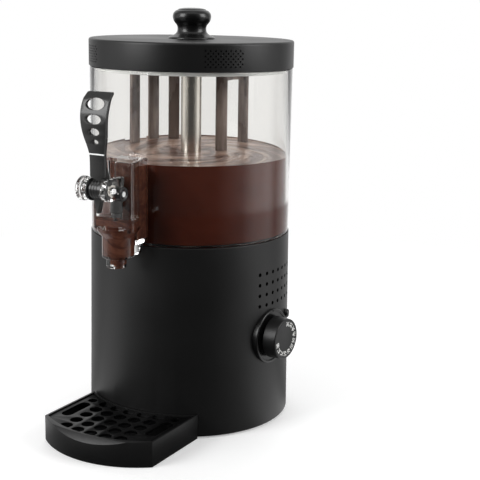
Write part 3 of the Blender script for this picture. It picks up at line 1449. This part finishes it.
@dataclass
class DripTray:
    """The tray with its scooped front edge, and its grid."""

    bench: Bench
    half_width: float = 0.0551
    corner_y: float = -0.1436
    front_y: float = -0.1637
    low: float = 0.0005
    high: float = 0.0221
    wall: float = 0.0018
    step: float = 0.0014
    front_wall: float = 0.0062
    floor: float = 0.002
    drum_radius: float = 0.0915
    drum_gap: float = 0.0008
    grid_top: float = 0.0211
    grid_thickness: float = 0.002
    grid_gap: float = 0.0004
    hole_radius: float = 0.0056
    pitch: float = 0.014
    row_pitch: float = 0.0138
    front_row: float = -0.149
    bow: float = 0.0035
    slot_x: float = 0.0435
    slot_front: float = -0.1325
    slot_back: float = -0.0985
    slot_half: float = 0.0052
    scoop_radius: float = 0.18
    scoop_start: float = -0.159
    scoop_deep: float = 0.005

    def plan(self, side: float, front: float, gap: float) -> Outline:
        """Plan of the tray, inset at its sides and front, with a gap to the drum.

        Args:
            side: Inset of the sides.
            front: Inset of the front.
            gap: Gap to the drum.

        Returns:
            The outline's points.
        """
        half = self.half_width - side
        bow_y = self.front_y + front
        sagitta = self.corner_y + side - bow_y
        radius = (half * half + sagitta * sagitta) / (2.0 * sagitta)
        spread = math.degrees(math.asin(half / radius))
        points = arc((0.0, bow_y + radius), radius, -90.0 - spread, -90.0 + spread, 48)
        back = self.drum_radius + gap
        spread = math.degrees(math.asin(half / back))
        return points + arc((0.0, 0.0), back, -90.0 + spread, -90.0 - spread, 48)

    def tray(self) -> Shape:
        """The tray's body."""
        made = Shape.plate(self.plan(0.0, 0.0, self.drum_gap), self.low, self.high)
        grid_low = self.grid_top - self.grid_thickness
        step = self.wall + self.step
        upper = self.plan(self.wall, self.front_wall, self.drum_gap + self.wall)
        lower = self.plan(step, self.front_wall + self.step, self.drum_gap + step)
        run = self.scoop_start - self.front_y
        slope = self.scoop_deep / run
        far = self.scoop_radius + 2.0 * run
        high = self.high + OVERSHOOT
        scoop = Shape.turned([(self.scoop_radius - OVERSHOOT / slope, high), (far, high),
                              (far, self.high - slope * 2.0 * run)], 512)
        made = made.cut(scoop.moved(Matrix.Translation((0.0, self.scoop_start + self.scoop_radius, 0.0))))
        made.rounded(0.0005, 2, 40.0)
        made = made.cut(Shape.plate(upper, grid_low - 0.0003, self.high + OVERSHOOT))
        made = made.cut(Shape.plate(lower, self.low + self.floor, grid_low + 0.001))
        for side in (-1.0, 1.0):
            middle = side * 0.03
            back = -math.sqrt(self.drum_radius ** 2 - 0.03 ** 2)
            tongue = Shape.block((middle - 0.007, back - 0.0026, 0.009),
                                 (middle + 0.007, back + 0.007, 0.012))
            made = made.joined(tongue.rounded(0.0005, 2))
        return made

    def grid(self) -> Shape:
        """The grid, with a small round on the rim of every hole."""
        inset = self.wall + self.grid_gap
        outline = self.plan(inset, self.front_wall + self.grid_gap, self.drum_gap + inset)
        low, top = self.grid_top - self.grid_thickness, self.grid_top
        made = Shape.plate(outline, low, top)
        holes = Shape()
        for row in range(5):
            for column in range(-2, 3):
                bow = self.bow * (1.0 - (column / 2.0) ** 2)
                spot = (column * self.pitch, self.front_row + row * self.row_pitch - bow, 0.0)
                holes.added(Shape.rod(self.hole_radius, low - OVERSHOOT, top + OVERSHOOT,
                                      Matrix.Translation(spot), 32))
        for side in (-1.0, 1.0):
            holes.added(Shape.rod(0.0042, low - OVERSHOOT, top + OVERSHOOT,
                                  Matrix.Translation((side * 0.0433, -0.0918, 0.0)), 32))
            middle = side * self.slot_x
            slot = arc((middle, self.slot_back - self.slot_half), self.slot_half, 0.0, 180.0, 14)
            slot += arc((middle, self.slot_front + self.slot_half), self.slot_half, 180.0, 360.0, 14)
            holes.added(Shape.plate(slot, low - OVERSHOOT, top + OVERSHOOT))
        made = made.cut(holes)
        return made.rounded(0.0006, 3, 40.0, lambda edge: all(vert.co.z > top - WELD for vert in edge.verts))

    def build(self) -> None:
        """Make and dress the tray's pieces."""
        self.bench.piece("tray_pan", self.tray(), Body.TRAY, MATTE_BLACK, ["drip_tray"])
        self.bench.piece("tray_grid", self.grid(), Body.GRID, GRID_BLACK, ["drip_grid"])


@dataclass
class Studio:
    """Floor, backdrop light and camera."""

    bench: Bench
    floor_size: float = 9.0
    camera_spot: tuple[float, float, float] = (0.5200, -0.8341, 0.37656)
    heading: float = 29.286
    drop: float = 12.63
    roll: float = 1.034
    lens: float = 82.513
    sensor: float = 36.0
    levels: tuple[Point, ...] = ((-1.0, 0.05), (-0.85, 0.06), (-0.45, 0.35), (-0.18, 0.95), (0.2, 1.0),
                                 (0.42, 0.35),
                                 (0.8, 0.7), (0.93, 1.0))
    ceiling: float = 0.35
    ambient: float = 0.45
    floor_glow: float = 0.3
    shadow_reach: float = 0.4

    def camera(self) -> None:
        """The photograph's view."""
        data = bpy.data.cameras.new("photo_view")
        data.lens = self.lens
        data.sensor_width = self.sensor
        data.dof.use_dof = False
        data.clip_start = 0.05
        data.clip_end = 30.0
        seen = bpy.data.objects.new("photo_view", data)
        turn = (Matrix.Rotation(math.radians(self.heading), 4, "Z")
                @ Matrix.Rotation(math.radians(90.0 - self.drop), 4, "X")
                @ Matrix.Rotation(math.radians(self.roll), 4, "Z"))
        seen.matrix_world = Matrix.Translation(Vector(self.camera_spot) + self.bench.axis) @ turn
        bpy.context.scene.collection.objects.link(seen)
        bpy.context.scene.camera = seen

    def away(self) -> tuple[float, float, float]:
        """The level direction in which the camera looks."""
        turn = math.radians(self.heading)
        return -math.sin(turn), math.cos(turn), 0.0

    def seen_rays(self, tree: bpy.types.NodeTree) -> Socket:
        """1 for the camera's rays and for mirrored and refracted ones, which all show the white surround."""
        path = add_node(tree, "LightPath")
        mask = add_node(tree, "Math", {0: path.outputs["Is Camera Ray"],
                                       1: path.outputs["Is Transmission Ray"]},
                        operation="MAXIMUM").outputs[0]
        return add_node(tree, "Math", {0: mask, 1: path.outputs["Is Glossy Ray"]},
                        operation="MAXIMUM").outputs[0]

    def surround_group(self) -> bpy.types.NodeTree:
        """How bright the studio is in a level direction: 1 behind the object, dim behind the camera."""
        if "studio_levels" in self.bench.effects.built:
            return self.bench.effects.built["studio_levels"]
        group = self.bench.effects.open("studio_levels", {"Facing": 0.0}, ("Level",))
        start, end = group.nodes[0], group.nodes[1]
        ramp = add_node(group, "ValToRGB", {0: stretched(group, start.outputs[0], 0.0, 1.0, -1.0, 1.0)})
        stops = ramp.color_ramp.elements
        while len(stops) < len(self.levels):
            stops.new(1.0)
        for stop, (facing, level) in zip(stops, self.levels):
            stop.position = (facing + 1.0) / 2.0
            stop.color = (level, level, level, 1.0)
        group.links.new(ramp.outputs[0], end.inputs[0])
        return group

    def world(self) -> None:
        """A white backdrop that fades to a dim studio behind the camera, over an even soft light."""
        world = bpy.data.worlds.new("studio_surround")
        world.use_nodes = True
        tree = world.node_tree
        tree.nodes.clear()
        path = add_node(tree, "LightPath")
        slope = Vector(self.away()) + Vector((0.0, 0.0, self.ceiling))
        facing = add_node(tree, "VectorMath", {0: add_node(tree, "TexCoord").outputs["Generated"], 1: slope},
                          operation="DOT_PRODUCT").outputs[1]
        around = add_node(tree, "Group", {0: facing}, node_tree=self.surround_group()).outputs[0]
        shown = add_node(tree, "Mix", {0: path.outputs["Is Camera Ray"], 2: around, 3: 1.0}).outputs[0]
        level = add_node(tree, "Mix", {0: self.seen_rays(tree), 2: self.ambient, 3: shown}).outputs[0]
        light = add_node(tree, "Background", {"Color": (1.0, 1.0, 1.0, 1.0), "Strength": level})
        add_node(tree, "OutputWorld", {0: light.outputs[0]})
        bpy.context.scene.world = world

    def floor(self) -> None:
        """A pale floor that keeps the soft shadow."""
        shape = Shape()
        bmesh.ops.create_grid(shape.bm, x_segments=1, y_segments=1, size=self.floor_size / 2.0)
        mesh = shape.to_mesh("floor")
        material, tree, shader = new_material("pale_floor")
        shader.inputs["Base Color"].default_value = (0.8, 0.8, 0.8, 1.0)
        shader.inputs["Roughness"].default_value = 0.9
        shader.inputs["Specular IOR Level"].default_value = 0.0
        glow = add_node(tree, "Emission", {"Color": (1.0, 1.0, 1.0, 1.0), "Strength": self.floor_glow})
        lifted = add_node(tree, "AddShader", {0: shader.outputs[0], 1: glow.outputs[0]})
        plain = add_node(tree, "Emission", {"Color": (1.0, 1.0, 1.0, 1.0), "Strength": 1.0})
        spot = add_node(tree, "TexCoord").outputs["Object"]
        distance = add_node(tree, "VectorMath", {0: spot}, operation="LENGTH")
        fade = stretched(tree, distance.outputs[1], 0.0, 1.0, self.shadow_reach, 2.0 * self.shadow_reach)
        near = add_node(tree, "MixShader", {0: fade, 1: lifted.outputs[0], 2: plain.outputs[0]})
        ahead = add_node(tree, "VectorMath", {0: spot}, operation="NORMALIZE").outputs[0]
        facing = add_node(tree, "VectorMath", {0: ahead, 1: self.away()}, operation="DOT_PRODUCT").outputs[1]
        level = add_node(tree, "Group", {0: facing}, node_tree=self.surround_group()).outputs[0]
        around = add_node(tree, "Emission", {"Color": (1.0, 1.0, 1.0, 1.0), "Strength": level})
        camera = add_node(tree, "LightPath").outputs["Is Camera Ray"]
        shown = add_node(tree, "MixShader", {0: camera, 1: around.outputs[0], 2: near.outputs[0]})
        mixed = add_node(tree, "MixShader", {0: self.seen_rays(tree), 1: shader.outputs[0],
                                             2: shown.outputs[0]})
        tree.links.new(mixed.outputs[0], tree.nodes["Material Output"].inputs[0])
        mesh.materials.append(material)
        made = bpy.data.objects.new("floor", mesh)
        bpy.context.scene.collection.objects.link(made)

    def lamp(self, name: str, spot: tuple[float, float, float], wide: float, tall: float, power: float,
             mirrored: bool) -> None:
        """A soft box that faces the object.

        Args:
            name: The lamp's name.
            spot: Its place from the drum axis.
            wide: Its width.
            tall: Its height.
            power: Its power in watts.
            mirrored: Whether glossy surfaces show it.
        """
        data = bpy.data.lights.new(name, "AREA")
        data.shape = "RECTANGLE"
        data.size = wide
        data.size_y = tall
        data.energy = power
        made = bpy.data.objects.new(name, data)
        place = Vector(spot) + self.bench.axis
        aim = Vector((self.bench.axis.x, self.bench.axis.y, 0.18)) - place
        made.matrix_world = Matrix.Translation(place) @ aim.to_track_quat("-Z", "Y").to_matrix().to_4x4()
        made.visible_glossy = mirrored
        made.visible_camera = False
        bpy.context.scene.collection.objects.link(made)

    def build(self) -> None:
        """Set up the studio."""
        self.camera()
        self.world()
        self.floor()
        self.lamp("soft_box_left", (-0.61, -1.15, 0.75), 0.7, 0.9, 12.0, True)
        self.lamp("soft_box_right", (1.27, 0.27, 0.75), 0.7, 0.9, 9.0, True)
        self.lamp("soft_box_back", (-0.5, 1.0, 1.4), 1.4, 1.4, 13.0, False)
        scene = bpy.context.scene
        scene.view_settings.view_transform = "Standard"


def main() -> None:
    """Build the studio and every sub-assembly round the frame."""
    logging.basicConfig(level=logging.INFO, format="%(name)s: %(message)s")
    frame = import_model()
    bench = Bench()
    Studio(bench).build()
    base = DrumBase(bench)
    base.build(frame)
    HeatDial(bench, base).build()
    DrinkTank(bench).build()
    Lid(bench).build(frame)
    Stirrer(bench).build(frame)
    tap = Tap(bench)
    tap.build(frame)
    TapLever(bench, tap).build(frame)
    DripTray(bench).build()


if __name__ == "__main__":
    main()
